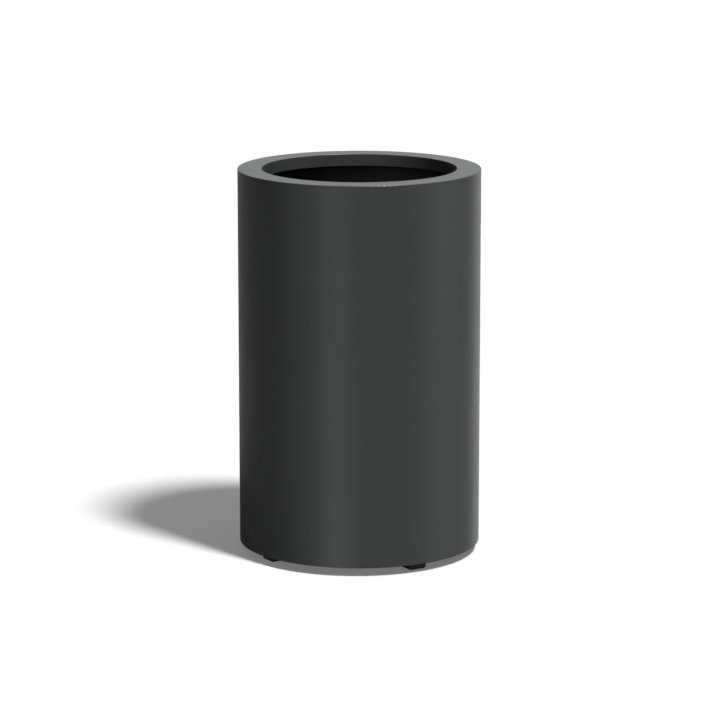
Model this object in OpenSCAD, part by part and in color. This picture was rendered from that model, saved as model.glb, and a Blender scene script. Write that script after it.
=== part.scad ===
// Tall round planter in powder-coated aluminium sheet, standing on four small square feet.
// A flat ring closes the top of the body, and a lip turns down from it round the mouth.
// Inside are a black lining, a drained base plate and the crossed channels that carry the feet.
// Millimetres. The floor is z = 0, the axis of the body is z, and the feet are on the diagonals.

/* [Body] */
// Outside diameter of the body
body_d = 500; // [440:10:620]
// Height from the floor to the top of the rim
total_h = 800; // [500:10:1000]
// Gap between the floor and the lower edge of the body
floor_gap = 18; // [14:1:28]
// Thickness of the rolled body sheet
shell_t = 3; // [2:0.5:4]
// Radius on the sheet edges that show
edge_r = 1; // [0.5:0.1:1.5]
// Height of the weld bead inside the rolled seam
seam_bead_h = 1.5; // [1:0.1:2]
// Width of the weld bead inside the rolled seam
seam_bead_w = 6; // [4:0.5:8]

/* [Rim] */
// Width of the flat rim, from the outside of the body to the mouth
rim_w = 50; // [30:1:80]
// Thickness of the rim ring
rim_t = 3; // [2:0.5:5]
// Depth of the mouth, from the top of the rim to the lower edge of the lip
lip_depth = 25; // [12:1:50]
// Thickness of the lip
lip_t = 3; // [2:0.5:5]

/* [Base] */
// Thickness of the base plate
base_t = 3; // [2:0.5:5]
// Leg of each fillet weld that holds the base plate in the body
base_weld_leg = 4; // [3:0.5:6]
// Length of each fillet weld
base_weld_l = 40; // [20:5:60]
// Number of fillet welds round the base plate
base_weld_count = 12; // [6:1:16]
// Height of the crossed channels
channel_h = 20; // [16:1:30]
// Thickness of the crossed channels
channel_t = 3; // [2:0.5:4]
// Gap between the end of a channel and the inside of the body
channel_end_gap = 12; // [8:1:16]

/* [Feet] */
// Width of the square feet and of the channels that they are screwed to
foot_w = 40; // [34:1:50]
// Distance from the outside of the body in to the outer side of a foot
foot_inset = 25; // [22:1:40]
// How far a foot reaches up inside the body
foot_tuck = 2; // [1:0.5:4]
// Thickness of the foot between the washer and the channel
foot_seat_t = 9; // [7:0.5:10]
// Chamfer round the sole of a foot
foot_chamfer = 3; // [1:0.5:3.5]
// Radius of the upright corners of a foot
foot_corner_r = 4; // [3.5:0.5:7]

/* [Foot fasteners] */
// Thread diameter of the foot screws
screw_d = 8; // [6:1:8]
// Length of a foot screw under its head
screw_l = 25; // [22:1:28]
// Diameter of a screw head
screw_head_d = 14; // [13:0.5:16]
// Height of a screw head
screw_head_h = 4.4; // [4:0.1:5]
// Height of the straight edge of a screw head
screw_head_edge = 1.4; // [1:0.1:2]
// Width across the flats of the hexagon socket
screw_hex = 5; // [4:0.5:5.5]
// Depth of the hexagon socket
screw_hex_depth = 2.6; // [2:0.1:3]
// Chamfer at the tip of a screw
screw_tip = 1; // [0.5:0.1:1.5]
// Diameter of a foot washer
washer_d = 18; // [16:0.5:20]
// Thickness of a foot washer
washer_t = 1.6; // [1:0.1:2]
// Diameter of a rivet nut's flange
nut_flange_d = 16; // [15:0.5:18]
// Thickness of a rivet nut's flange
nut_flange_t = 1.5; // [1:0.1:2]
// Diameter of a rivet nut's sleeve
nut_sleeve_d = 11; // [10:0.1:12]
// Diameter of the bulge that grips the channel
nut_bulge_d = 14; // [13:0.5:15]
// Height of the bulge
nut_bulge_h = 3; // [2:0.5:4]
// Height of the whole rivet nut above the channel's web
nut_rise = 10; // [8:0.5:12]

/* [Drains] */
// Distance from the axis of the body to each drain
drain_r = 120; // [80:5:150]
// Diameter of the drain holes
drain_d = 22; // [18:1:28]
// Diameter of a strainer's flange
strainer_d = 46; // [40:1:54]
// Thickness of a strainer's flange
strainer_t = 2; // [1.5:0.5:3]
// Diameter of a strainer's dome
dome_d = 32; // [28:1:36]
// Height of a strainer's dome above the flange
dome_h = 12; // [8:1:15]
// Wall of a strainer's dome and spigot
strainer_wall = 2; // [1.5:0.1:2.5]
// Number of slots in a dome
slot_count = 8; // [6:1:10]
// Width of the slots in a dome
slot_w = 3; // [2:0.1:3.5]
// Radius of the closed crown between the slots
crown_r = 6; // [6:0.5:8]
// Height of the closed foot of a dome below the slots
slot_foot = 1.5; // [1:0.1:2.5]
// How far each snap barb stands out of a spigot
barb_out = 0.9; // [0.6:0.1:1.2]
// Height of the snap barbs
barb_h = 3; // [2:0.5:4]
// Width of the slits that let the barbs spring in
slit_w = 2.5; // [1.5:0.1:3]

/* [Lining] */
// Thickness of the black lining sheet
lining_t = 3; // [2:0.5:5]
// Gap between the top edge of the wall lining and the rim ring
lining_top_gap = 2; // [1:0.5:6]
// Gap between the seam's weld bead and each end of the wall lining
lining_seam_gap = 2; // [1:0.5:5]

/* [Clearances] */
// Gap between round pieces that nest
fit_gap = 0.3; // [0.2:0.05:0.5]
// Gap between a screw and its nut
thread_gap = 0.05; // [0.02:0.01:0.1]
// Gap between a screw and the holes that it passes through
screw_gap = 0.4; // [0.3:0.1:0.6]
// Gap between a rivet nut's sleeve and the hole in the channel
sleeve_gap = 0.1; // [0.05:0.05:0.2]
// Gap between a washer and the wall of the recess round it
washer_gap = 1; // [0.5:0.1:1.5]

/* [Hidden] */
FEET = 4;
$fn = 144;

// Colours
coat = "#3D3F3E";
moulding = "#161616";
sheet_black = "#0D0D0D";
zinc = "#B9BCBE";

// How far a cut runs past the face that it opens
over = 1;

// Direction of the rolled seam, between two feet
seam_angle = 270;

// The body, from the outside in
body_r = body_d / 2;
bore_r = body_r - shell_t;
mouth_r = body_r - rim_w;
lining_r = bore_r - fit_gap;

// The body, from the floor up
foot_h = floor_gap + foot_tuck;
web_top_z = foot_h + channel_t;
plate_z = foot_h + channel_h;
floor_z = plate_z + base_t;
flange_z = floor_z + lining_t;
rim_z = total_h - rim_t;

// The feet and the channels over them
foot_r = body_r - foot_inset - foot_w / 2;
channel_reach = bore_r - channel_end_gap;
seat_z = foot_h - foot_seat_t;
head_top_z = seat_z - washer_t;
nut_bore_r = screw_d / 2 + thread_gap;
nut_sleeve_r = nut_sleeve_d / 2;
screw_hole_r = screw_d / 2 + screw_gap;

// The strainers
spigot_r = drain_d / 2 - fit_gap;
spigot_z = plate_z - fit_gap - barb_h;

function foot_angle(i) = 360 / FEET * (i - 0.5);
function drain_angle(i) = 360 / FEET * (i - 1);

// Radius of the circle whose segment is w wide and h high
function segment_r(w, h) = (h * h + w * w / 4) / (2 * h);

// Places its children at one foot, with x pointing away from the axis of the body
module at_foot(i) {
    rotate(foot_angle(i)) translate([foot_r, 0, 0]) children();
}

module at_drain(i) {
    rotate(drain_angle(i)) translate([drain_r, 0, 0]) children();
}

module ring(inner_r, outer_r, h) {
    difference() {
        cylinder(r = outer_r, h = h);
        translate([0, 0, -over]) cylinder(r = inner_r, h = h + 2 * over);
    }
}

// What a round of radius r takes off a corner at the upper right, from the centre of its arc
module corner_waste(r) {
    difference() {
        square(r + over);
        circle(r = r);
    }
}

// Rolled tube, with its lower outside edge rounded
module shell_wall() {
    rotate_extrude() difference() {
        translate([bore_r, floor_gap]) square([shell_t, rim_z - floor_gap]);
        translate([body_r - edge_r, floor_gap + edge_r]) mirror([0, 1]) corner_waste(edge_r);
    }
}

// Weld bead up the inside of the seam, dressed flush below the base plate
module seam_bead() {
    bead_r = segment_r(seam_bead_w, seam_bead_h);
    intersection() {
        rotate(seam_angle) translate([bore_r + bead_r - seam_bead_h, 0, floor_z])
            cylinder(r = bead_r, h = rim_z - floor_z);
        cylinder(r = bore_r + shell_t / 2, h = rim_z);
    }
}

// One of the fillet welds that the base plate rests on
module base_weld() {
    weld_angle = base_weld_l / bore_r * 180 / PI;
    rotate(-weld_angle / 2) rotate_extrude(angle = weld_angle) translate([bore_r, plate_z])
        polygon([
            [shell_t / 2, 0],
            [-base_weld_leg, 0],
            [0, -base_weld_leg],
            [shell_t / 2, -base_weld_leg]
        ]);
}

module shell() {
    color(coat) union() {
        shell_wall();
        seam_bead();
        for (i = [1:base_weld_count]) rotate(360 / base_weld_count * i) base_weld();
    }
}

// Flat ring welded on the top of the body, with both of its upper edges rounded
module rim_ring() {
    color(coat) rotate_extrude() difference() {
        translate([mouth_r, rim_z]) square([rim_w, rim_t]);
        translate([body_r - edge_r, total_h - edge_r]) corner_waste(edge_r);
        translate([mouth_r + edge_r, total_h - edge_r]) mirror([1, 0]) corner_waste(edge_r);
    }
}

// Rolled strip that hangs from the ring and makes the mouth
module rim_lip() {
    color(coat) translate([0, 0, total_h - lip_depth])
        ring(mouth_r, mouth_r + lip_t, lip_depth - rim_t);
}

module drain_holes() {
    for (i = [1:FEET]) at_drain(i) translate([0, 0, plate_z - over])
        cylinder(d = drain_d, h = base_t + lining_t + 2 * over);
}

module base_plate() {
    color(coat) difference() {
        translate([0, 0, plate_z]) cylinder(r = lining_r, h = base_t);
        drain_holes();
    }
}

// Channel from one distance from the axis to another along x, with its web down
module channel(from_x, to_x) {
    translate([from_x, 0, foot_h]) rotate([90, 0, 90]) linear_extrude(to_x - from_x)
        difference() {
            translate([-foot_w / 2, 0]) square([foot_w, channel_h]);
            translate([channel_t - foot_w / 2, channel_t])
                square([foot_w - 2 * channel_t, channel_h]);
        }
}

module web_holes() {
    for (i = [1:FEET]) at_foot(i) translate([0, 0, foot_h - over])
        cylinder(r = nut_sleeve_r + sleeve_gap, h = channel_t + 2 * over);
}

module cross_channel_long() {
    color(coat) difference() {
        rotate(foot_angle(1)) channel(-channel_reach, channel_reach);
        web_holes();
    }
}

// Half channel that butts against the side of the long one
module cross_channel_short(i) {
    color(coat) difference() {
        rotate(foot_angle(2 * i)) channel(foot_w / 2, channel_reach);
        web_holes();
    }
}

// Side view of a foot, with the chamfers at the sole
module foot_side() {
    half_w = foot_w / 2;
    polygon([
        [foot_chamfer - half_w, 0],
        [half_w - foot_chamfer, 0],
        [half_w, foot_chamfer],
        [half_w, foot_h],
        [-half_w, foot_h],
        [-half_w, foot_chamfer]
    ]);
}

module foot_block() {
    corner = foot_w / 2 - foot_corner_r;
    for (turn = [0, 90]) rotate([90, 0, 90 + turn])
        linear_extrude(2 * corner, center = true) foot_side();
    for (x = [-corner, corner], y = [-corner, corner]) translate([x, y, 0]) {
        cylinder(r1 = foot_corner_r - foot_chamfer, r2 = foot_corner_r, h = foot_chamfer);
        translate([0, 0, foot_chamfer]) cylinder(r = foot_corner_r, h = foot_h - foot_chamfer);
    }
}

// Moulded block with a recess for the screw below and one for the rivet nut's flange above
module foot(i) {
    flange_recess = nut_flange_t + fit_gap;
    color(moulding) at_foot(i) difference() {
        foot_block();
        translate([0, 0, -over]) cylinder(r = washer_d / 2 + washer_gap, h = seat_z + over);
        translate([0, 0, -over]) cylinder(r = screw_hole_r, h = foot_h + 2 * over);
        translate([0, 0, foot_h - flange_recess])
            cylinder(r = nut_flange_d / 2 + fit_gap, h = flange_recess + over);
    }
}

// Button head screw, driven up from under the foot
module foot_screw() {
    head_r = screw_head_d / 2;
    slope_h = screw_head_h - screw_head_edge;
    head_z = head_top_z - screw_head_h;
    difference() {
        union() {
            translate([0, 0, head_z]) cylinder(r1 = head_r - slope_h, r2 = head_r, h = slope_h);
            translate([0, 0, head_z + slope_h]) cylinder(r = head_r, h = screw_head_edge);
            translate([0, 0, head_top_z]) cylinder(d = screw_d, h = screw_l - screw_tip);
            translate([0, 0, head_top_z + screw_l - screw_tip])
                cylinder(r1 = screw_d / 2, r2 = screw_d / 2 - screw_tip, h = screw_tip);
        }
        translate([0, 0, head_z - over])
            cylinder(d = screw_hex / cos(30), h = screw_hex_depth + over, $fn = 6);
    }
}

module foot_screws() {
    color(zinc) for (i = [1:FEET]) at_foot(i) foot_screw();
}

module foot_washers() {
    color(zinc) for (i = [1:FEET]) at_foot(i) translate([0, 0, head_top_z])
        ring(screw_hole_r, washer_d / 2, washer_t);
}

// Set rivet nut: flange under the channel's web, bulge on top of it
module rivet_nut() {
    rotate_extrude() polygon([
        [nut_bore_r, foot_h - nut_flange_t],
        [nut_flange_d / 2, foot_h - nut_flange_t],
        [nut_flange_d / 2, foot_h],
        [nut_sleeve_r, foot_h],
        [nut_sleeve_r, web_top_z],
        [nut_bulge_d / 2, web_top_z],
        [nut_bulge_d / 2, web_top_z + nut_bulge_h],
        [nut_sleeve_r, web_top_z + nut_bulge_h],
        [nut_sleeve_r, web_top_z + nut_rise],
        [nut_bore_r, web_top_z + nut_rise]
    ]);
}

module rivet_nuts() {
    color(zinc) for (i = [1:FEET]) at_foot(i) rivet_nut();
}

// Ball that a strainer's dome is cut from, made smaller all round by one wall for its inside
module dome_ball(wall) {
    ball_r = segment_r(dome_d, dome_h);
    translate([0, 0, flange_z + strainer_t + dome_h - ball_r]) sphere(r = ball_r - wall);
}

// Flange, domed grille above it, and a spigot below it that snaps into the drain hole
module strainer_blank() {
    translate([0, 0, flange_z]) cylinder(d = strainer_d, h = strainer_t);
    intersection() {
        dome_ball(0);
        translate([0, 0, flange_z + strainer_t / 2]) cylinder(d = strainer_d, h = dome_h + strainer_t);
    }
    translate([0, 0, spigot_z]) cylinder(r = spigot_r, h = flange_z + strainer_t / 2 - spigot_z);
    translate([0, 0, spigot_z]) cylinder(r1 = spigot_r, r2 = spigot_r + barb_out, h = barb_h);
}

module strainer_hollow() {
    intersection() {
        dome_ball(strainer_wall);
        translate([0, 0, flange_z + strainer_t]) cylinder(d = strainer_d, h = dome_h);
    }
    translate([0, 0, spigot_z - over])
        cylinder(r = spigot_r - strainer_wall, h = flange_z + strainer_t - spigot_z + 2 * over);
}

// Slots that spread from the crown of the dome down its sides
module dome_slots() {
    for (s = [1:slot_count]) rotate(360 / slot_count * s)
        translate([crown_r, -slot_w / 2, flange_z + strainer_t + slot_foot])
            cube([strainer_d / 2, slot_w, dome_h]);
}

// Crossed slits that part the spigot into four springs
module spigot_slits() {
    slit_l = 2 * (spigot_r + barb_out + over);
    for (turn = [45, 135]) rotate(turn) translate([-slit_l / 2, -slit_w / 2, spigot_z - over])
        cube([slit_l, slit_w, floor_z - spigot_z + over]);
}

module drain_strainer(i) {
    color(moulding) at_drain(i) difference() {
        strainer_blank();
        strainer_hollow();
        dome_slots();
        spigot_slits();
    }
}

// Sheet rolled against the body, with its two ends either side of the seam's weld bead
module wall_lining() {
    gap_angle = (seam_bead_w + 2 * lining_seam_gap) / lining_r * 180 / PI;
    color(sheet_black) rotate(seam_angle + gap_angle / 2)
        rotate_extrude(angle = 360 - gap_angle)
            translate([lining_r - lining_t, floor_z])
                square([lining_t, rim_z - lining_top_gap - floor_z]);
}

// Disc on the base plate, inside the wall lining
module floor_lining() {
    color(sheet_black) difference() {
        translate([0, 0, floor_z]) cylinder(r = lining_r - lining_t - fit_gap, h = lining_t);
        drain_holes();
    }
}

shell();
rim_ring();
rim_lip();
base_plate();
cross_channel_long();
cross_channel_short(1);  // cross_channel_short_1
cross_channel_short(2);  // cross_channel_short_2
for (i = [1:FEET]) foot(i);
foot_screws();
foot_washers();
rivet_nuts();
for (i = [1:FEET]) drain_strainer(i);
wall_lining();
floor_lining();
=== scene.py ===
"""Finishes and studio for a tall round planter in powder-coated aluminium.

The file is laid out as an add-on and is run as a script. Places and sizes are in metres, in the planter's
own frame: the floor is z = 0, the axis of the body is z, and the feet are on the diagonals.
"""

import math

import bmesh
import bpy
from bpy.props import FloatProperty, FloatVectorProperty, PointerProperty
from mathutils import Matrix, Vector


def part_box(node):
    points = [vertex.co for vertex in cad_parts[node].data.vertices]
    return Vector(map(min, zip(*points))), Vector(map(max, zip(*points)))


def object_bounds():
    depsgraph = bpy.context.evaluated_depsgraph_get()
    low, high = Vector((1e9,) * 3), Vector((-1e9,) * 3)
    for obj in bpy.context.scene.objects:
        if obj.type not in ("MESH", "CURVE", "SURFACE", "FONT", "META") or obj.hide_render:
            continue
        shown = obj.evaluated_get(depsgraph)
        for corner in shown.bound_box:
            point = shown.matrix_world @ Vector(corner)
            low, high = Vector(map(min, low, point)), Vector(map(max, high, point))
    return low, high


bl_info = {
    "name": "Tall round planter",
    "version": (1, 0, 0),
    "blender": (4, 5, 0),
    "location": "3D View > Sidebar > Planter",
    "description": "Finishes a coated aluminium planter and lights it in a plain studio",
    "category": "Object",
}

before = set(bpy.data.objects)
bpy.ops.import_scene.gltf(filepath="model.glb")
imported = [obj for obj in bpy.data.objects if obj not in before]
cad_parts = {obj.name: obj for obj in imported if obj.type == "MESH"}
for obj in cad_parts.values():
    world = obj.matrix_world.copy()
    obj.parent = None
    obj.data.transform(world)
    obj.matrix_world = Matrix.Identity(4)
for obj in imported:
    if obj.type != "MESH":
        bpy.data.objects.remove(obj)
CAD_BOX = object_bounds()

MM = 0.001
BODY_R = (CAD_BOX[1].x - CAD_BOX[0].x) / 2
BODY_FOOT_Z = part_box("shell")[0].z

# The camera was fitted to the outlines of the body, the rim and the mouth. Its distance, and the height that
# it aims at above the body's lower edge, are in radii of the body. Its angles are in degrees.
CAMERA_DISTANCE_R = 27.58
CAMERA_AIM_R = 1.518
CAMERA_ELEVATION = 11.66
CAMERA_AZIMUTH = 12.6
# The picture is this many pixels wide. The focal length is in its pixels, and the sensor in millimetres.
IMAGE_W_PX = 720
FOCAL_PX = 3322.7
AXIS_LEFT_OF_CENTRE_PX = 0.66
SENSOR_W = 36.0
NEAREST_SEEN = 0.1
FARTHEST_SEEN = 200.0

# Soft light as the satin coat reflects it. Each line has a name, degrees to the right of the camera, degrees
# above the floor, degrees from the middle to where it has faded to about a third, and its brightness, where
# 1 is white.
GLOWS = (
    ("left_soft_box", -61.5, 27, 14, 5.0),
    ("left_front_soft_box", -29.5, 32, 19, 5.0),
    ("right_front_soft_box", 15, 34, 17.5, 5.3),
    ("right_soft_box", 83, 10, 25, 0.97),
    ("soft_box_behind", 178, 48, 26, 2.6),
    ("low_light_behind_right", 154, -8, 21, 0.65),
    ("low_light_behind_left", -153, 8, 16, 0.08),
    ("pool_on_floor_in_front", -22.5, -26, 13.5, 1.7),
)

# The studio: half the side of its floor, and how far off the key and the dome with the soft boxes are.
FLOOR_HALF_W = 40.0
KEY_R = 300.0
DOME_R = 400.0
DOME_SUBDIVISIONS = 5

# Painted pool of light in the floor's colour in the sheen, near the planter: its share, and its radius.
PAINTED_POOL_GAIN = 0.6
PAINTED_POOL_R = 2.5
# Painted shadow in the floor's colour in the sheen, on the side away from the key, where the soft boxes
# cast none: how dark, how far from the axis, and its radius.
PAINTED_SHADE_DEPTH = 1.0
PAINTED_SHADE_OFFSET = 0.5
PAINTED_SHADE_R = 0.6

WHITE = (1, 1, 1, 1)
# Sockets of a Mix node in its colour mode, where names alone would find the number mode's.
MIX_A = 6
MIX_B = 7
MIX_RESULT = 2
# A noise texture seldom leaves this range.
NOISE_LOW = 0.3
NOISE_HIGH = 0.7


def linear(hex_colour):
    """Scene linear red, green and blue of an sRGB hex colour such as 3D3F3E."""
    shares = [int(hex_colour[i:i + 2], 16) / 255 for i in (0, 2, 4)]
    return [s / 12.92 if s <= 0.04045 else ((s + 0.055) / 1.055) ** 2.4 for s in shares]


def around(azimuth, elevation):
    """Unit vector from the planter towards a place seen at this azimuth and elevation, in degrees."""
    turn = math.radians(azimuth)
    rise = math.radians(elevation)
    return Vector((math.sin(turn) * math.cos(rise), -math.cos(turn) * math.cos(rise), math.sin(rise)))


class PlanterFinish(bpy.types.PropertyGroup):
    """Colours and surface sizes of the planter's own materials"""

    coat_colour: FloatVectorProperty(
        name="Coat colour", description="Colour of the powder coat", subtype="COLOR", size=3,
        min=0, max=1, default=linear("454746"))
    coat_roughness: FloatProperty(
        name="Coat roughness", description="Roughness of the satin powder coat", min=0, max=1, default=0.33)
    peel_width: FloatProperty(
        name="Orange peel", description="Width of one dimple of the coat's orange peel",
        subtype="DISTANCE", unit="LENGTH", min=1 * MM, max=20 * MM, default=5 * MM)
    rubber_colour: FloatVectorProperty(
        name="Foot colour", description="Colour of the moulded rubber feet", subtype="COLOR", size=3,
        min=0, max=1, default=linear("222222"))
    sheet_colour: FloatVectorProperty(
        name="Lining colour", description="Colour of the extruded lining sheet", subtype="COLOR", size=3,
        min=0, max=1, default=linear("181818"))
    moulding_colour: FloatVectorProperty(
        name="Strainer colour", description="Colour of the moulded strainers", subtype="COLOR", size=3,
        min=0, max=1, default=linear("161717"))
    zinc_colour: FloatVectorProperty(
        name="Fastener colour", description="Colour of the zinc plating", subtype="COLOR", size=3,
        min=0, max=1, default=linear("B9BCBE"))


class PlanterStage(bpy.types.PropertyGroup):
    """Camera, lamps and floor of the studio"""

    azimuth: FloatProperty(
        name="Camera azimuth", description="Degrees that the camera stands to the right of the front",
        default=CAMERA_AZIMUTH)
    elevation: FloatProperty(
        name="Camera elevation", description="Degrees that the camera looks down", default=CAMERA_ELEVATION)
    distance: FloatProperty(
        name="Camera distance", description="From the lens to the point it aims at",
        subtype="DISTANCE", unit="LENGTH", default=CAMERA_DISTANCE_R * BODY_R)
    aim_height: FloatProperty(
        name="Aim height", description="Height of the point the camera aims at, above the floor",
        subtype="DISTANCE", unit="LENGTH", default=BODY_FOOT_Z + CAMERA_AIM_R * BODY_R)
    key_side: FloatProperty(
        name="Key side", description="Degrees that the key light stands to the right of the camera",
        default=43.2)
    key_height: FloatProperty(
        name="Key height", description="Degrees that the key light stands above the floor",
        default=61.6)
    key_width: FloatProperty(
        name="Key width", description="Degrees the key spans sideways, which softens the shadow's sides",
        min=0.1, default=7.0)
    key_rise: FloatProperty(
        name="Key rise", description="Degrees the key spans upwards, which softens the shadow's end",
        min=0.1, default=11.5)
    key_strength: FloatProperty(
        name="Key strength", description="Light of the key on a face square to it", min=0, default=2.9)
    key_glint: FloatProperty(
        name="Key glint", description="Further light of the key that only the sheen shows",
        min=0, default=3.0)
    sky_strength: FloatProperty(
        name="Room light", description="Even light from the whole studio", min=0, default=0.11)
    floor_colour: FloatVectorProperty(
        name="Floor colour", description="Colour of the floor where it is seen", subtype="COLOR", size=3,
        min=0, max=1, default=linear("F8F8F8"))
    floor_bounce: FloatProperty(
        name="Floor bounce", description="Share of its light that the floor throws back at the planter",
        subtype="FACTOR", min=0, max=1, default=0.25)
    floor_sheen: FloatProperty(
        name="Floor in the sheen", description="Share of its light that the far floor shows in the sheen",
        subtype="FACTOR", min=0, max=1, default=0.157)
    shade_lift: FloatProperty(
        name="Shade lift", description="Light of the seen floor that no shadow takes away",
        min=0, max=1, default=0.16)


def add_node(tree, kind, inputs, **settings):
    """Adds a node with its settings, and fills or links the inputs that are given by name or number."""
    node = tree.nodes.new(kind)
    for name, value in settings.items():
        setattr(node, name, value)
    for key, value in inputs.items():
        if isinstance(value, bpy.types.NodeSocket):
            tree.links.new(value, node.inputs[key])
        else:
            node.inputs[key].default_value = value
    return node


def new_material(name):
    """An empty node material and its tree."""
    material = bpy.data.materials.new(name)
    material.use_nodes = True
    material.node_tree.nodes.clear()
    return material, material.node_tree


def bell(tree, place, middle, reach):
    """1 in the middle, 0.37 at this reach from it, and next to nothing at twice the reach."""
    away = add_node(tree, "ShaderNodeVectorMath", {0: place, 1: middle}, operation="DISTANCE")
    share = add_node(tree, "ShaderNodeMath", {0: away.outputs["Value"], 1: reach}, operation="DIVIDE")
    square = add_node(tree, "ShaderNodeMath", {0: share.outputs[0], 1: 2.0}, operation="POWER")
    fade = add_node(tree, "ShaderNodeMath", {0: 1 / math.e, 1: square.outputs[0]}, operation="POWER")
    return fade.outputs[0]


def rgba(colour, share=1.0):
    """A colour with alpha, all three channels taken to a share of their value."""
    return (*[c * share for c in colour], 1.0)


def powder_coat():
    """Polyester powder coat, sprayed and baked on aluminium sheet.

    To the eye it is one even dark grey with a satin sheen. Close up the baked film is dimpled like orange
    peel, and its gloss wanders a little from place to place.
    """
    finish = bpy.context.scene.planter_finish
    # The coat is sprayed in passes, so its colour is cloudy over a hand's width, and its gloss over less.
    cloud_width = 90 * MM
    darkest, palest = 0.94, 1.06
    gloss_width = 35 * MM
    gloss_wander = 0.02
    # Real orange peel is 1 to 5 mm wide and about 0.01 mm deep. It is drawn as wide as it comes and twice
    # as deep, so that it can show.
    peel_depth = 0.02 * MM
    material, tree = new_material("polyester_powder_coat_baked")
    place = add_node(tree, "ShaderNodeTexCoord", {}).outputs["Object"]
    cloud = add_node(tree, "ShaderNodeTexNoise", {"Vector": place, "Scale": 1 / cloud_width, "Detail": 3.0})
    colour = add_node(tree, "ShaderNodeMix", {
        "Factor": cloud.outputs["Fac"],
        MIX_A: rgba(finish.coat_colour, darkest),
        MIX_B: rgba(finish.coat_colour, palest),
    }, data_type="RGBA")
    gloss = add_node(tree, "ShaderNodeTexNoise", {"Vector": place, "Scale": 1 / gloss_width, "Detail": 2.0})
    roughness = add_node(tree, "ShaderNodeMapRange", {
        "Value": gloss.outputs["Fac"], "From Min": NOISE_LOW, "From Max": NOISE_HIGH,
        "To Min": finish.coat_roughness - gloss_wander, "To Max": finish.coat_roughness + gloss_wander,
    })
    peel = add_node(tree, "ShaderNodeTexNoise", {
        "Vector": place, "Scale": 1 / finish.peel_width, "Detail": 1.0})
    bump = add_node(tree, "ShaderNodeBump", {
        "Height": peel.outputs["Fac"], "Distance": peel_depth, "Strength": 1.0})
    shader = add_node(tree, "ShaderNodeBsdfPrincipled", {
        "Base Color": colour.outputs[MIX_RESULT], "Roughness": roughness.outputs["Result"],
        "Normal": bump.outputs["Normal"], "IOR": 1.5,
    })
    add_node(tree, "ShaderNodeOutputMaterial", {"Surface": shader.outputs["BSDF"]})
    return material


def moulded_rubber():
    """EPDM rubber from a spark-eroded mould: matt black with a fine even grain that kills any highlight."""
    finish = bpy.context.scene.planter_finish
    bloom_width = 12 * MM
    darkest, palest = 0.85, 1.2
    # A spark-eroded grain is 0.1 to 0.3 mm wide. It is drawn coarser, so that it can show.
    grain_width = 0.9 * MM
    grain_depth = 0.05 * MM
    material, tree = new_material("epdm_rubber_moulded")
    place = add_node(tree, "ShaderNodeTexCoord", {}).outputs["Object"]
    bloom = add_node(tree, "ShaderNodeTexNoise", {"Vector": place, "Scale": 1 / bloom_width, "Detail": 3.0})
    colour = add_node(tree, "ShaderNodeMix", {
        "Factor": bloom.outputs["Fac"],
        MIX_A: rgba(finish.rubber_colour, darkest),
        MIX_B: rgba(finish.rubber_colour, palest),
    }, data_type="RGBA")
    grain = add_node(tree, "ShaderNodeTexNoise", {"Vector": place, "Scale": 1 / grain_width, "Detail": 2.0})
    bump = add_node(tree, "ShaderNodeBump", {
        "Height": grain.outputs["Fac"], "Distance": grain_depth, "Strength": 1.0})
    shader = add_node(tree, "ShaderNodeBsdfPrincipled", {
        "Base Color": colour.outputs[MIX_RESULT], "Roughness": 0.62,
        "Normal": bump.outputs["Normal"], "IOR": 1.52,
    })
    add_node(tree, "ShaderNodeOutputMaterial", {"Surface": shader.outputs["BSDF"]})
    return material


def extruded_sheet():
    """Black polyethylene sheet, extruded and rolled into the body.

    The die leaves faint lines along the sheet, upright here, that break its dull sheen into soft bands.
    """
    finish = bpy.context.scene.planter_finish
    darkest, palest = 0.9, 1.12
    # Real die lines are under about 1 mm wide, too fine to show here, so they are drawn much wider.
    line_width = 12 * MM
    line_length = 900 * MM
    line_depth = 0.02 * MM
    material, tree = new_material("polyethylene_sheet_extruded")
    place = add_node(tree, "ShaderNodeTexCoord", {}).outputs["Object"]
    stretched = add_node(tree, "ShaderNodeMapping", {
        "Vector": place, "Scale": (1 / line_width, 1 / line_width, 1 / line_length)})
    lines = add_node(tree, "ShaderNodeTexNoise", {
        "Vector": stretched.outputs["Vector"], "Scale": 1.0, "Detail": 2.0})
    roughness = add_node(tree, "ShaderNodeMapRange", {
        "Value": lines.outputs["Fac"], "From Min": NOISE_LOW, "From Max": NOISE_HIGH,
        "To Min": 0.31, "To Max": 0.35,
    })
    bump = add_node(tree, "ShaderNodeBump", {
        "Height": lines.outputs["Fac"], "Distance": line_depth, "Strength": 1.0})
    colour = add_node(tree, "ShaderNodeMix", {
        "Factor": lines.outputs["Fac"],
        MIX_A: rgba(finish.sheet_colour, darkest),
        MIX_B: rgba(finish.sheet_colour, palest),
    }, data_type="RGBA")
    shader = add_node(tree, "ShaderNodeBsdfPrincipled", {
        "Base Color": colour.outputs[MIX_RESULT], "Roughness": roughness.outputs["Result"],
        "Normal": bump.outputs["Normal"], "IOR": 1.51,
    })
    add_node(tree, "ShaderNodeOutputMaterial", {"Surface": shader.outputs["BSDF"]})
    return material


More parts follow.
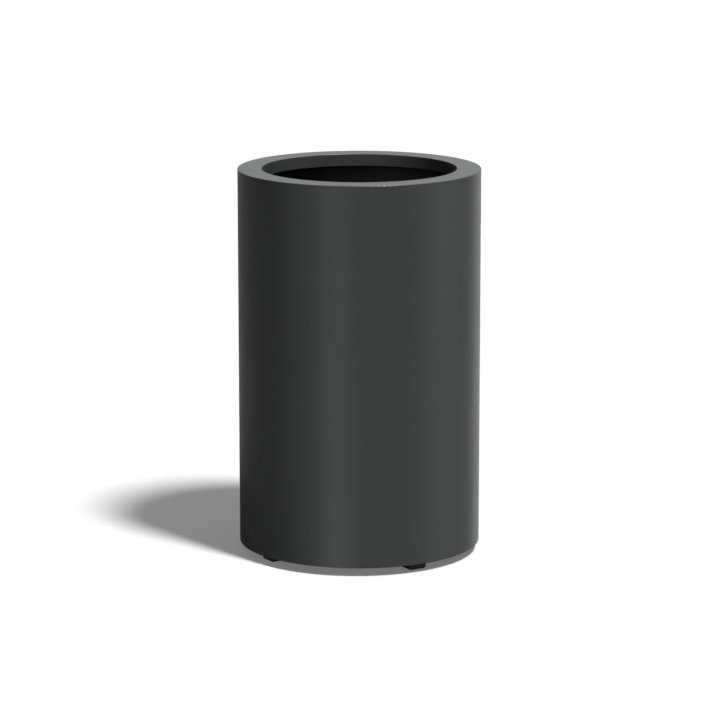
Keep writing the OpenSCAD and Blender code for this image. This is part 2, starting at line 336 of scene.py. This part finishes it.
def moulded_polypropylene():
    """Injection-moulded polypropylene: near black and slightly waxy, with the mould's fine texture."""
    finish = bpy.context.scene.planter_finish
    flow_width = 6 * MM
    darkest, palest = 0.85, 1.2
    # The mould's texture is 0.1 to 0.3 mm wide. It is drawn coarser, so that it can show.
    grain_width = 0.6 * MM
    grain_depth = 0.02 * MM
    material, tree = new_material("polypropylene_injection_moulded")
    place = add_node(tree, "ShaderNodeTexCoord", {}).outputs["Object"]
    flow = add_node(tree, "ShaderNodeTexNoise", {"Vector": place, "Scale": 1 / flow_width, "Detail": 2.0})
    colour = add_node(tree, "ShaderNodeMix", {
        "Factor": flow.outputs["Fac"],
        MIX_A: rgba(finish.moulding_colour, darkest),
        MIX_B: rgba(finish.moulding_colour, palest),
    }, data_type="RGBA")
    grain = add_node(tree, "ShaderNodeTexNoise", {"Vector": place, "Scale": 1 / grain_width, "Detail": 1.0})
    bump = add_node(tree, "ShaderNodeBump", {
        "Height": grain.outputs["Fac"], "Distance": grain_depth, "Strength": 1.0})
    shader = add_node(tree, "ShaderNodeBsdfPrincipled", {
        "Base Color": colour.outputs[MIX_RESULT], "Roughness": 0.42,
        "Normal": bump.outputs["Normal"], "IOR": 1.49,
    })
    add_node(tree, "ShaderNodeOutputMaterial", {"Surface": shader.outputs["BSDF"]})
    return material


def zinc_plated_steel():
    """Bright zinc plated on turned steel: a soft grey mirror, clouded where the passivation is thicker."""
    finish = bpy.context.scene.planter_finish
    cloud_width = 3 * MM
    darkest, palest = 0.85, 1.1
    material, tree = new_material("steel_turned_zinc_plated")
    place = add_node(tree, "ShaderNodeTexCoord", {}).outputs["Object"]
    cloud = add_node(tree, "ShaderNodeTexNoise", {"Vector": place, "Scale": 1 / cloud_width, "Detail": 3.0})
    colour = add_node(tree, "ShaderNodeMix", {
        "Factor": cloud.outputs["Fac"],
        MIX_A: rgba(finish.zinc_colour, darkest),
        MIX_B: rgba(finish.zinc_colour, palest),
    }, data_type="RGBA")
    roughness = add_node(tree, "ShaderNodeMapRange", {
        "Value": cloud.outputs["Fac"], "From Min": NOISE_LOW, "From Max": NOISE_HIGH,
        "To Min": 0.25, "To Max": 0.4,
    })
    shader = add_node(tree, "ShaderNodeBsdfPrincipled", {
        "Base Color": colour.outputs[MIX_RESULT], "Roughness": roughness.outputs["Result"], "Metallic": 1.0,
    })
    add_node(tree, "ShaderNodeOutputMaterial", {"Surface": shader.outputs["BSDF"]})
    return material


def dress(material, *nodes):
    """Gives these pieces of the planter one material."""
    for name in nodes:
        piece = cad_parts[name]
        piece.data.materials.clear()
        piece.data.materials.append(material)


def nodes_like(prefix):
    """Names of the planter's pieces that start with this word, in order."""
    return sorted(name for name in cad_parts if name.startswith(prefix))


class PLANTER_OT_body(bpy.types.Operator):
    """Coats the body, the rim, the lip, the base plate and the crossed channels"""

    bl_idname = "planter.body"
    bl_label = "Body"

    def execute(self, context):
        dress(powder_coat(), "shell", "rim_ring", "rim_lip", "base_plate", *nodes_like("cross_channel"))
        return {"FINISHED"}


class PLANTER_OT_feet(bpy.types.Operator):
    """Finishes the four rubber feet"""

    bl_idname = "planter.feet"
    bl_label = "Feet"

    def execute(self, context):
        feet = [name for name in nodes_like("foot_") if name[-1].isdigit()]
        dress(moulded_rubber(), *feet)
        return {"FINISHED"}


class PLANTER_OT_fasteners(bpy.types.Operator):
    """Plates the screws, washers and rivet nuts"""

    bl_idname = "planter.fasteners"
    bl_label = "Fasteners"

    def execute(self, context):
        dress(zinc_plated_steel(), "foot_screws", "foot_washers", "rivet_nuts")
        return {"FINISHED"}


class PLANTER_OT_strainers(bpy.types.Operator):
    """Finishes the four drain strainers"""

    bl_idname = "planter.strainers"
    bl_label = "Strainers"

    def execute(self, context):
        dress(moulded_polypropylene(), *nodes_like("drain_strainer"))
        return {"FINISHED"}


class PLANTER_OT_lining(bpy.types.Operator):
    """Finishes the black lining of the wall and the floor"""

    bl_idname = "planter.lining"
    bl_label = "Lining"

    def execute(self, context):
        dress(extruded_sheet(), "wall_lining", "floor_lining")
        return {"FINISHED"}


def aim(thing, place, target):
    """Puts a camera or lamp at a place and points it at a target."""
    thing.location = place
    thing.rotation_mode = "QUATERNION"
    thing.rotation_quaternion = (target - place).to_track_quat("-Z", "Y")


def add_camera(stage):
    """The photograph's view, aimed a little to the right, as the planter stands left of its middle."""
    data = bpy.data.cameras.new("camera")
    data.sensor_width = SENSOR_W
    data.lens = SENSOR_W * FOCAL_PX / IMAGE_W_PX
    data.clip_start = NEAREST_SEEN
    data.clip_end = FARTHEST_SEEN
    camera = bpy.data.objects.new("camera", data)
    bpy.context.scene.collection.objects.link(camera)
    turn = math.radians(stage.azimuth)
    right = Vector((math.cos(turn), math.sin(turn), 0))
    sideways = AXIS_LEFT_OF_CENTRE_PX * stage.distance / FOCAL_PX
    target = Vector((0, 0, stage.aim_height)) + right * sideways
    aim(camera, target + around(stage.azimuth, stage.elevation) * stage.distance, target)
    bpy.context.scene.camera = camera


def add_key(stage):
    """The key light, high on the right, which throws the one shadow, and the glint it leaves on the edges.

    It is an oval soft box, so far off that its light comes from one side, as big as the shadow's edges say.
    """
    for name, strength in (("key", stage.key_strength), ("key_glint", stage.key_glint)):
        data = bpy.data.lights.new(name, "AREA")
        data.shape = "ELLIPSE"
        data.size = 2 * KEY_R * math.tan(math.radians(stage.key_width) / 2)
        data.size_y = 2 * KEY_R * math.tan(math.radians(stage.key_rise) / 2)
        # A lamp of this power throws this strength on a face square to it, as a sun's strength is given.
        data.energy = strength * math.pi * KEY_R ** 2
        lamp = bpy.data.objects.new(name, data)
        bpy.context.scene.collection.objects.link(lamp)
        lamp.visible_camera = False
        lamp.visible_diffuse = (name == "key")
        aim(lamp, around(stage.azimuth + stage.key_side, stage.key_height) * KEY_R, Vector((0, 0, 0)))


def rays(tree, *kinds):
    """1 for rays of any of these kinds, and 0 for the others."""
    path = add_node(tree, "ShaderNodeLightPath", {})
    found = path.outputs[kinds[0]]
    for kind in kinds[1:]:
        either = add_node(tree, "ShaderNodeMath", {0: found, 1: path.outputs[kind]}, operation="MAXIMUM")
        found = either.outputs[0]
    return found


def add_room(stage):
    """Even light from all round, and white wherever the room itself is seen past the edge of the floor."""
    world = bpy.data.worlds.new("studio")
    bpy.context.scene.world = world
    world.use_nodes = True
    tree = world.node_tree
    tree.nodes.clear()
    light = add_node(tree, "ShaderNodeBackground", {"Color": WHITE, "Strength": stage.sky_strength})
    white = add_node(tree, "ShaderNodeBackground", {"Color": WHITE, "Strength": 1.0})
    seen = rays(tree, "Is Camera Ray", "Is Glossy Ray", "Is Transmission Ray")
    mix = add_node(tree, "ShaderNodeMixShader", {0: seen, 1: light.outputs[0], 2: white.outputs[0]})
    add_node(tree, "ShaderNodeOutputWorld", {"Surface": mix.outputs[0]})


def add_floor(stage):
    """A plain pale floor that reaches past the top of the view and holds the planter's shadow.

    The photograph's sheen shows it dim, brighter near the planter and dark on the side away from the key,
    with one pool of light in front. So rays of the sheen see less of it, and look on through it to the pool.
    Its colour for them holds a painted pool of light near the planter and a painted shadow on the side away
    from the key.
    From below it is clear.
    """
    mesh = bpy.data.meshes.new("floor")
    half = FLOOR_HALF_W
    corners = [(-half, -half, 0), (half, -half, 0), (half, half, 0), (-half, half, 0)]
    mesh.from_pydata(corners, [], [(0, 1, 2, 3)])
    floor = bpy.data.objects.new("floor", mesh)
    bpy.context.scene.collection.objects.link(floor)
    material, tree = new_material("floor_matt_white")
    seen = rays(tree, "Is Camera Ray", "Is Transmission Ray")
    in_sheen = rays(tree, "Is Glossy Ray")
    surface = add_node(tree, "ShaderNodeNewGeometry", {})
    place = surface.outputs["Position"]
    # Painted pool of light: the floor's colour in the sheen is brighter near the planter.
    near = bell(tree, place, (0, 0, 0), PAINTED_POOL_R)
    lit = add_node(tree, "ShaderNodeMath", {0: near, 1: PAINTED_POOL_GAIN, 2: 1.0}, operation="MULTIPLY_ADD")
    # Painted shadow: the floor's colour in the sheen is darker on the side away from the key.
    away_from_key = around(stage.azimuth + stage.key_side + 180, 0)
    behind = bell(tree, place, away_from_key * PAINTED_SHADE_OFFSET, PAINTED_SHADE_R)
    shaded = add_node(tree, "ShaderNodeMath", {
        0: behind, 1: -PAINTED_SHADE_DEPTH, 2: 1.0}, operation="MULTIPLY_ADD")
    both = add_node(tree, "ShaderNodeMath", {0: lit.outputs[0], 1: shaded.outputs[0]}, operation="MULTIPLY")
    dim = add_node(tree, "ShaderNodeMath", {0: both.outputs[0], 1: stage.floor_sheen}, operation="MULTIPLY")
    thrown = add_node(tree, "ShaderNodeMix", {
        "Factor": in_sheen, "A": stage.floor_bounce, "B": dim.outputs[0]})
    colour = add_node(tree, "ShaderNodeMix", {
        "Factor": seen, MIX_A: thrown.outputs[0], MIX_B: rgba(stage.floor_colour)}, data_type="RGBA")
    matt = add_node(tree, "ShaderNodeBsdfDiffuse", {"Color": colour.outputs[MIX_RESULT]})
    lift = add_node(tree, "ShaderNodeMath", {0: seen, 1: stage.shade_lift}, operation="MULTIPLY")
    shade = add_node(tree, "ShaderNodeEmission", {"Color": WHITE, "Strength": lift.outputs[0]})
    pool = add_node(tree, "ShaderNodeBsdfTransparent", {"Color": in_sheen})
    floor_seen = add_node(tree, "ShaderNodeAddShader", {0: matt.outputs[0], 1: shade.outputs[0]})
    above = add_node(tree, "ShaderNodeAddShader", {0: floor_seen.outputs[0], 1: pool.outputs[0]})
    below = add_node(tree, "ShaderNodeBsdfTransparent", {"Color": WHITE})
    whole = add_node(tree, "ShaderNodeMixShader", {
        0: surface.outputs["Backfacing"], 1: above.outputs[0], 2: below.outputs[0]})
    add_node(tree, "ShaderNodeOutputMaterial", {"Surface": whole.outputs[0]})
    # The floor's own light is only for the camera, and lights nothing.
    material.cycles.emission_sampling = "NONE"
    mesh.materials.append(material)


def add_dome(stage):
    """The studio's soft boxes, as glows on a dome that only the sheen of the planter's surfaces sees.

    Between the glows it is black and hides the white room, since the photograph's sheen is dark there.
    """
    mesh = bpy.data.meshes.new("dome")
    shape = bmesh.new()
    bmesh.ops.create_icosphere(shape, subdivisions=DOME_SUBDIVISIONS, radius=DOME_R)
    shape.to_mesh(mesh)
    shape.free()
    dome = bpy.data.objects.new("dome", mesh)
    bpy.context.scene.collection.objects.link(dome)
    material, tree = new_material("soft_boxes")
    place = add_node(tree, "ShaderNodeTexCoord", {}).outputs["Object"]
    toward = add_node(tree, "ShaderNodeVectorMath", {0: place}, operation="NORMALIZE").outputs[0]
    total = 0.0
    for _, side, height, reach, brightness in GLOWS:
        glow = bell(tree, toward, around(stage.azimuth + side, height), math.radians(reach))
        total = add_node(tree, "ShaderNodeMath", {
            0: glow, 1: brightness, 2: total}, operation="MULTIPLY_ADD").outputs[0]
    # A soft box that the coat mirrors down to the floor would brighten the shadow, and the real one is even.
    path = add_node(tree, "ShaderNodeLightPath", {})
    direct = add_node(tree, "ShaderNodeMath", {
        0: path.outputs["Diffuse Depth"], 1: 1.0}, operation="LESS_THAN")
    strength = add_node(tree, "ShaderNodeMath", {0: total, 1: direct.outputs[0]}, operation="MULTIPLY")
    shine = add_node(tree, "ShaderNodeEmission", {"Color": WHITE, "Strength": strength.outputs[0]})
    add_node(tree, "ShaderNodeOutputMaterial", {"Surface": shine.outputs[0]})
    # The dome reaches below the floor, so its light is found by following reflections, not by aiming at it.
    material.cycles.emission_sampling = "NONE"
    mesh.materials.append(material)
    dome.visible_camera = dome.visible_diffuse = dome.visible_transmission = dome.visible_shadow = False


class PLANTER_OT_stage(bpy.types.Operator):
    """Sets the camera, the floor and the light of the studio"""

    bl_idname = "planter.stage"
    bl_label = "Studio"

    def execute(self, context):
        stage = context.scene.planter_stage
        add_camera(stage)
        add_key(stage)
        add_room(stage)
        add_floor(stage)
        add_dome(stage)
        context.scene.view_settings.view_transform = "Standard"
        return {"FINISHED"}


class PLANTER_PT_panel(bpy.types.Panel):
    """Lists the steps that finish the planter"""

    bl_idname = "PLANTER_PT_panel"
    bl_label = "Planter"
    bl_space_type = "VIEW_3D"
    bl_region_type = "UI"
    bl_category = "Planter"

    def draw(self, context):
        for step in STEPS:
            self.layout.operator(step.bl_idname)
        for group in (context.scene.planter_finish, context.scene.planter_stage):
            for name in group.__annotations__:
                self.layout.prop(group, name)


STEPS = (
    PLANTER_OT_stage,
    PLANTER_OT_body,
    PLANTER_OT_lining,
    PLANTER_OT_strainers,
    PLANTER_OT_feet,
    PLANTER_OT_fasteners,
)
CLASSES = (PlanterFinish, PlanterStage, *STEPS, PLANTER_PT_panel)


def register():
    for cls in CLASSES:
        bpy.utils.register_class(cls)
    bpy.types.Scene.planter_finish = PointerProperty(type=PlanterFinish)
    bpy.types.Scene.planter_stage = PointerProperty(type=PlanterStage)


def unregister():
    del bpy.types.Scene.planter_stage
    del bpy.types.Scene.planter_finish
    for cls in reversed(CLASSES):
        bpy.utils.unregister_class(cls)


def main():
    register()
    for step in STEPS:
        group, name = step.bl_idname.split(".")
        getattr(getattr(bpy.ops, group), name)()


if __name__ == "__main__":
    main()
